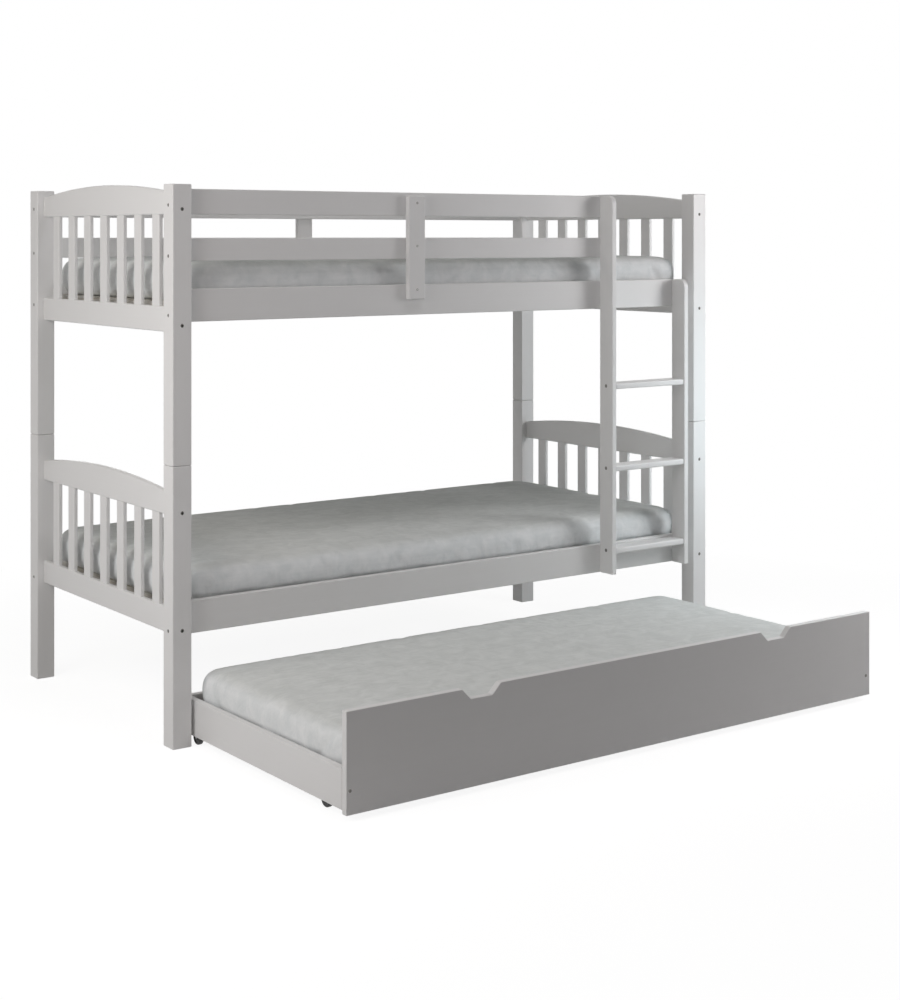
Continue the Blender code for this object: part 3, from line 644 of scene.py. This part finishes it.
def dress_end_panels(lacquer):
    """Build the lower boards of the end panels with rounded slats tenoned into them."""
    for tier in ("lower", "upper"):
        for end in ENDS:
            node = f"{tier}_{end}_end_slats"
            low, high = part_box(node)
            middle_x = (low.x + high.x) / 2
            bm = bmesh.new()
            add_block(bm, low, (high.x, high.y, low.z + END_BOARD_HEIGHT), BOARD_EDGE)
            gap = (high.y - low.y - END_SLAT_COUNT * END_SLAT_WIDTH) / (END_SLAT_COUNT + 1)
            half = END_SLAT_THICKNESS / 2
            for index in range(END_SLAT_COUNT):
                start = low.y + gap + index * (gap + END_SLAT_WIDTH)
                add_block(bm, (middle_x - half, start, low.z + END_BOARD_HEIGHT - END_SLAT_TENON),
                          (middle_x + half, start + END_SLAT_WIDTH, high.z), SLAT_EDGE, index=1)
            mesh = to_mesh(bm, f"{node}_wood")
            even_shading(make_piece(f"{node}_wood", mesh, [lacquer["Y"], lacquer["Z"]], "bed",
                                    [node]))


def dress_slat_bases(pine, webbing, zinc):
    """Lay out each slatted base: rounded pine slats, two straps and their staples."""
    rows = {"lower": ("bed", BUNK_SLAT_COUNT), "upper": ("bed", BUNK_SLAT_COUNT),
            "trundle": ("trundle", TRUNDLE_SLAT_COUNT)}
    for tier, (body, count) in rows.items():
        node = f"{tier}_slat_base"
        low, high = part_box(node)
        wood_top = high.z - STRAP_THICKNESS
        pitch = (high.x - low.x - SLAT_WIDTH) / (count - 1)
        slats, straps, staples = bmesh.new(), bmesh.new(), bmesh.new()
        lanes = (low.y + STRAP_INSET, high.y - STRAP_INSET)
        for index in range(count):
            start = low.x + index * pitch
            add_block(slats, (start, low.y, low.z), (start + SLAT_WIDTH, high.y, wood_top), SLAT_ROUNDING)
            for lane in lanes:
                for across in (-STRAP_WIDTH / 4, STRAP_WIDTH / 4):
                    middle = Vector((start + SLAT_WIDTH / 2, lane + across, high.z))
                    reach = Vector((STAPLE_SPAN / 2, STAPLE_WIRE / 2, STAPLE_PROUD))
                    add_block(staples, middle - reach, middle + reach, STAPLE_WIRE / 10, steps=1)
        for lane in lanes:
            add_block(straps, (low.x + STRAP_END_INSET, lane - STRAP_WIDTH / 2, wood_top),
                      (high.x - STRAP_END_INSET, lane + STRAP_WIDTH / 2, high.z), STRAP_THICKNESS / 4,
                      steps=2)
        make_piece(f"{tier}_slats", to_mesh(slats, f"{tier}_slats"), [pine], body, [node])
        make_piece(f"{tier}_slat_straps", to_mesh(straps, f"{tier}_slat_straps"), [webbing], body,
                   [node])
        make_piece(f"{tier}_strap_staples", to_mesh(staples, f"{tier}_strap_staples"), [zinc], body)


def remeshed(mesh, cell):
    """Return a mesh made over in even square cells."""
    work = bpy.data.objects.new("work", mesh)
    bpy.context.scene.collection.objects.link(work)
    cells = work.modifiers.new("cells", "REMESH")
    cells.mode = "VOXEL"
    cells.voxel_size = cell
    depsgraph = bpy.context.evaluated_depsgraph_get()
    result = bpy.data.meshes.new_from_object(work.evaluated_get(depsgraph))
    bpy.data.objects.remove(work, do_unlink=True)
    return result


def mattress_blank(node):
    """Cut a mattress block, with round upright corners and rolled upper and lower edges."""
    low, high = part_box(node)
    inset = Vector((MATTRESS_SHRINK, MATTRESS_SHRINK, 0.0))
    low = low + inset
    high = high - inset - Vector((0, 0, MATTRESS_CROWN))
    bm = bmesh.new()
    add_block(bm, low, high)
    upright = [edge for edge in bm.edges if abs(edge.verts[0].co.z - edge.verts[1].co.z) > MERGE]
    bmesh.ops.bevel(bm, geom=upright, offset=MATTRESS_CORNER, segments=MATTRESS_ROLL_STEPS, profile=0.5,
                    affect="EDGES", material=-1)
    for level, roll in ((high.z, MATTRESS_ROLL), (low.z, MATTRESS_FOOT_ROLL)):
        rim = [edge for edge in bm.edges if all(abs(vert.co.z - level) < MERGE for vert in edge.verts)]
        bmesh.ops.bevel(bm, geom=rim, offset=roll, segments=MATTRESS_ROLL_STEPS, profile=0.5,
                        affect="EDGES", material=-1)
    mesh = bpy.data.meshes.new(f"{node}_blank")
    bm.to_mesh(mesh)
    bm.free()
    return mesh, low, high


def shape_mattress(mesh, low, high, slant):
    """Crown the top, raise the corners a little, and pucker and crease the sides."""
    middle = (low + high) / 2
    half = (high - low) / 2
    bm = bmesh.new()
    bm.from_mesh(mesh)
    bmesh.ops.smooth_vert(bm, verts=bm.verts, factor=0.5, use_axis_x=True, use_axis_y=True, use_axis_z=True)
    for vert in bm.verts:
        away = vert.co - middle
        to_edge = min(half.x - abs(away.x), half.y - abs(away.y))
        rise = (vert.co.z - low.z) / (high.z - low.z)
        share = min(max((to_edge - MATTRESS_ROLL) / (MATTRESS_CROWN_REACH - MATTRESS_ROLL), 0.0), 1.0)
        to_corner = math.hypot(half.x - abs(away.x), half.y - abs(away.y))
        if rise > 0.5:
            vert.co.z += MATTRESS_CROWN * (1 - (1 - share) ** 2)
            vert.co.z += EAR_RISE * max(0.0, 1 - to_corner / EAR_REACH)
        if to_edge < MATTRESS_CORNER:
            outward = Vector((away.x * max(0.0, 1 - (half.x - abs(away.x)) / MATTRESS_CORNER),
                              away.y * max(0.0, 1 - (half.y - abs(away.y)) / MATTRESS_CORNER), 0.0))
            if outward.length > MERGE:
                outward.normalize()
                upright = math.sin(math.pi * min(max(rise, 0.0), 1.0))
                along = vert.co.x if abs(outward.y) > abs(outward.x) else vert.co.y
                to_end = half.x - abs(away.x) if abs(outward.y) > abs(outward.x) else half.y - abs(away.y)
                wave = noise.noise(Vector((along / PUCKER_PITCH * 2, rise, half.x + outward.y)))
                pucker = wave * PUCKER_DEPTH * min(1.0, max(0.0, 1 - rise) / PUCKER_FADE)
                off_crease = to_end - CREASE_INSET - slant * (rise - 0.5)
                crease = CREASE_DEPTH * math.exp(-(off_crease / CREASE_WIDTH) ** 2)
                vert.co += outward * upright * (pucker - crease)
    bm.to_mesh(mesh)
    bm.free()
    return mesh


def swell(mesh, low, high):
    """Blow the cover up a little with Blender's cloth, and cap how far each point moves."""
    work = bpy.data.objects.new("cover", mesh)
    bpy.context.scene.collection.objects.link(work)
    bpy.context.view_layer.update()
    start = [vert.co.copy() for vert in mesh.vertices]
    held = work.vertex_groups.new(name="held")
    middle = (low + high) / 2
    half = (high - low) / 2
    for vert in mesh.vertices:
        away = vert.co - middle
        to_edge = min(half.x - abs(away.x), half.y - abs(away.y))
        rise = (vert.co.z - low.z) / (high.z - low.z)
        weight = 1.0 if rise < HELD_FOOT_SHARE else 0.0
        if rise > HELD_TOP_SHARE:
            weight = min(max((to_edge - HELD_TOP_RIM) / HELD_TOP_FADE, 0.0), 1.0) * HELD_TOP_WEIGHT
        held.add([vert.index], weight, "REPLACE")
    cloth = work.modifiers.new("cover", "CLOTH")
    for key, value in CLOTH_SETTINGS.items():
        setattr(cloth.settings, key, value)
    cloth.settings.effector_weights.gravity = 0.0
    cloth.point_cache.frame_start = 1
    cloth.point_cache.frame_end = SWELL_FRAMES
    scene = bpy.context.scene
    for step in range(1, SWELL_FRAMES + 1):
        scene.frame_set(step)
    depsgraph = bpy.context.evaluated_depsgraph_get()
    result = bpy.data.meshes.new_from_object(work.evaluated_get(depsgraph))
    bpy.data.objects.remove(work, do_unlink=True)
    scene.frame_set(1)
    for vert, before in zip(result.vertices, start):
        move = vert.co - before
        if move.length > SWELL_CAP:
            vert.co = before + move * (SWELL_CAP / move.length)
    return result


def mark_side_share(mesh):
    """Mark how far each point faces sideways: the share by which the sides are gathered and painted paler as
    painted light.
    """
    side_share = mesh.attributes.new("side_share", "FLOAT", "POINT")
    for vert, mark in zip(mesh.vertices, side_share.data):
        mark.value = min(max((SIDE_SHARE_LEVEL - abs(vert.normal.z)) / SIDE_SHARE_FADE, 0.0), 1.0)


def dress_mattresses(cover):
    """Make the three mattresses: blank, shape, swell and smooth."""
    for tier, body in (("lower", "bed"), ("upper", "bed"), ("trundle", "trundle")):
        node = f"{tier}_mattress"
        blank, low, high = mattress_blank(node)
        mesh = shape_mattress(remeshed(blank, MATTRESS_CELL), low, high, CREASE_SLANTS[tier])
        mesh = swell(mesh, low, high)
        mesh.shade_smooth()
        mark_side_share(mesh)
        mesh.name = f"{tier}_mattress_cover"
        piece = make_piece(f"{tier}_mattress_cover", mesh, [cover], body, [node])
        finer = piece.modifiers.new("finer", "SUBSURF")
        finer.levels = finer.render_levels = 1


def dress_casters(moulding, zinc, socket_shade_steel):
    """Turn the wheels, and smooth their brackets and screw them to the side boards."""
    section = [*WHEEL_PROFILE, *((-across, out) for across, out in reversed(WHEEL_PROFILE))]
    screws = bmesh.new()
    for side in SIDES:
        for end in ENDS:
            node = f"trundle_wheel_{side}_{end}"
            low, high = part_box(node)
            axle = (low + high) / 2
            bm = bmesh.new()
            ring = [bm.verts.new(axle + Vector((across, 0.0, out))) for across, out in section]
            edges = [bm.edges.new(pair) for pair in zip(ring, ring[1:] + ring[:1])]
            bmesh.ops.spin(bm, geom=ring + edges, cent=axle, axis=(1, 0, 0), angle=math.tau,
                           steps=WHEEL_STEPS, use_merge=True)
            bmesh.ops.recalc_face_normals(bm, faces=bm.faces)
            make_piece(f"caster_wheel_{side}_{end}", to_mesh(bm, node, WHEEL_SHARP_ANGLE), [moulding],
                       f"wheel_{side}_{end}", [node])
            node = f"trundle_bracket_{side}_{end}"
            mesh = to_mesh(merged_copy(node), f"caster_plate_{side}_{end}", HARDWARE_SHARP_ANGLE)
            make_piece(f"caster_plate_{side}_{end}", mesh, [zinc], "trundle", [node])
            low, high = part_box(node)
            plate_x = high.x if end == "left" else low.x
            for across in (-CASTER_SCREW_OFFSET, CASTER_SCREW_OFFSET):
                add_screw(screws, (plate_x, axle.y + across, axle.z + CASTER_SCREW_RISE),
                          (-ENDS[end], 0, 0), CASTER_SCREW_RADIUS)
    finish_hardware("caster_screws", screws, zinc, socket_shade_steel, "trundle")


def dress_screws(head_steel, socket_shade_steel):
    """Set the screws of the guard supports, the ladder and the trundle's front board."""
    guard, ladder, trundle = bmesh.new(), bmesh.new(), bmesh.new()
    for side, sign in SIDES.items():
        low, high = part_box(f"{side}_guard_support")
        face = low.y if side == "front" else high.y
        for height in SUPPORT_SCREW_HEIGHTS:
            add_screw(guard, ((low.x + high.x) / 2, face, height), (0, sign, 0))
    stiles = {"left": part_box("ladder_left_stile")[0].x, "right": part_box("ladder_right_stile")[1].x}
    for rung in range(1, 4):
        low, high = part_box(f"ladder_rung_{rung}")
        middle = (low + high) / 2
        for end, face in stiles.items():
            add_screw(ladder, (face, middle.y, middle.z), (ENDS[end], 0, 0), LADDER_SCREW_RADIUS)
    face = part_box("trundle_fascia")[0].y
    for x in FASCIA_SCREW_X:
        add_screw(trundle, (x, face, FASCIA_SCREW_HEIGHT), (0, -1, 0), FASCIA_SCREW_RADIUS)
    finish_hardware("guard_screws", guard, head_steel, socket_shade_steel, "bed")
    finish_hardware("ladder_screws", ladder, head_steel, head_steel, "bed")
    finish_hardware("trundle_screws", trundle, head_steel, socket_shade_steel, "trundle")


def dress_dowels(zinc):
    """Plate the steel dowels that are hidden in the post joints."""
    for side in SIDES:
        for end in ENDS:
            node = frame["nodes"][f"post_dowel_{side}_{end}"]
            node.data.materials.clear()
            node.data.materials.append(zinc)


def make_floor():
    """Lay a wide pale floor that keeps the shadow near the bed and is white far away."""
    bm = bmesh.new()
    bmesh.ops.create_circle(bm, cap_ends=True, segments=FLOOR_STEPS, radius=FLOOR_RADIUS)
    mesh = bpy.data.meshes.new("floor")
    bm.to_mesh(mesh)
    bm.free()
    floor = bpy.data.objects.new("floor", mesh)
    bpy.context.scene.collection.objects.link(floor)
    material, tree, shader = new_material("pale_floor")
    tree.nodes.remove(shader)
    output = tree.nodes["Material Output"]
    reach = make_node(tree, "ShaderNodeVectorMath", {0: object_place(tree)}, operation="LENGTH")
    far = remapped(tree, reach.outputs["Value"], 0.0, 1.0, FLOOR_FADE_START, FLOOR_FADE_END)
    seen = seen_rays(tree)
    matte = make_node(tree, "ShaderNodeBsdfDiffuse", {"Color": FLOOR_MATTE}).outputs[0]
    faint = make_node(tree, "ShaderNodeBsdfDiffuse", {"Color": FLOOR_SHADE}).outputs[0]
    lift = make_node(tree, "ShaderNodeEmission", {"Strength": FLOOR_GLOW}).outputs[0]
    near = make_node(tree, "ShaderNodeAddShader", {0: faint, 1: lift}).outputs[0]
    white = make_node(tree, "ShaderNodeEmission", {"Strength": 1.0}).outputs[0]
    shown = make_node(tree, "ShaderNodeMixShader", {0: far, 1: near, 2: white}).outputs[0]
    both = make_node(tree, "ShaderNodeMixShader", {0: seen, 1: matte, 2: shown}).outputs[0]
    tree.links.new(both, output.inputs["Surface"])
    mesh.materials.append(material)


def make_world(level):
    """Light the scene evenly, and show plain white to the camera and in reflections."""
    world = bpy.data.worlds.new("studio")
    bpy.context.scene.world = world
    world.use_nodes = True
    tree = world.node_tree
    tree.nodes.clear()
    seen = seen_rays(tree)
    fill = make_node(tree, "ShaderNodeBackground", {"Color": (1, 1, 1, 1), "Strength": level}).outputs[0]
    white = make_node(tree, "ShaderNodeBackground", {"Color": (1, 1, 1, 1), "Strength": 1.0}).outputs[0]
    mixed = make_node(tree, "ShaderNodeMixShader", {0: seen, 1: fill, 2: white}).outputs[0]
    output = make_node(tree, "ShaderNodeOutputWorld")
    tree.links.new(mixed, output.inputs["Surface"])


def make_lamp(name, place, target, size, watts, colour):
    """Hang a square studio lamp that looks at a place."""
    light = bpy.data.lights.new(name, "AREA")
    light.shape = "SQUARE"
    light.size = size
    light.energy = watts
    light.color = colour
    lamp = bpy.data.objects.new(name, light)
    lamp.location = place
    lamp.rotation_euler = (Vector(target) - Vector(place)).to_track_quat("-Z", "Y").to_euler()
    bpy.context.scene.collection.objects.link(lamp)


def make_camera():
    """Stand the camera where the photograph was taken."""
    lens = bpy.data.cameras.new("camera")
    lens.lens = CAMERA_LENS
    lens.shift_y = CAMERA_SHIFT
    lens.clip_end = CAMERA_REACH
    camera = bpy.data.objects.new("camera", lens)
    camera.location = CAMERA_PLACE
    camera.rotation_euler = (math.radians(90), 0.0, math.radians(CAMERA_HEADING))
    bpy.context.scene.collection.objects.link(camera)
    bpy.context.scene.camera = camera


make_camera()
lacquer = {axis: white_lacquer(axis) for axis in "XYZ"}
zinc = zinc_plate()
# The sockets' darker steel is painted shade for their hollows
socket_shade_steel = oxide_or_socket_shade("painted_socket_shade", (0.080, 0.068, 0.058), (0.130, 0.112, 0.095))
head_steel = oxide_or_socket_shade("dulled_steel", (0.24, 0.23, 0.22), (0.34, 0.33, 0.31))
dress_posts(lacquer, head_steel, socket_shade_steel)
dress_boards(lacquer)
dress_end_panels(lacquer)
dress_slat_bases(washed_pine(), strap_webbing(), zinc)
dress_mattresses(mattress_cover())
dress_casters(black_moulding(), zinc, socket_shade_steel)
dress_screws(head_steel, socket_shade_steel)
dress_dowels(zinc)
make_floor()
make_world(FILL_LEVEL)
for lamp_name, settings in LAMPS.items():
    make_lamp(lamp_name, *settings)
bpy.context.scene.view_settings.view_transform = "Standard"
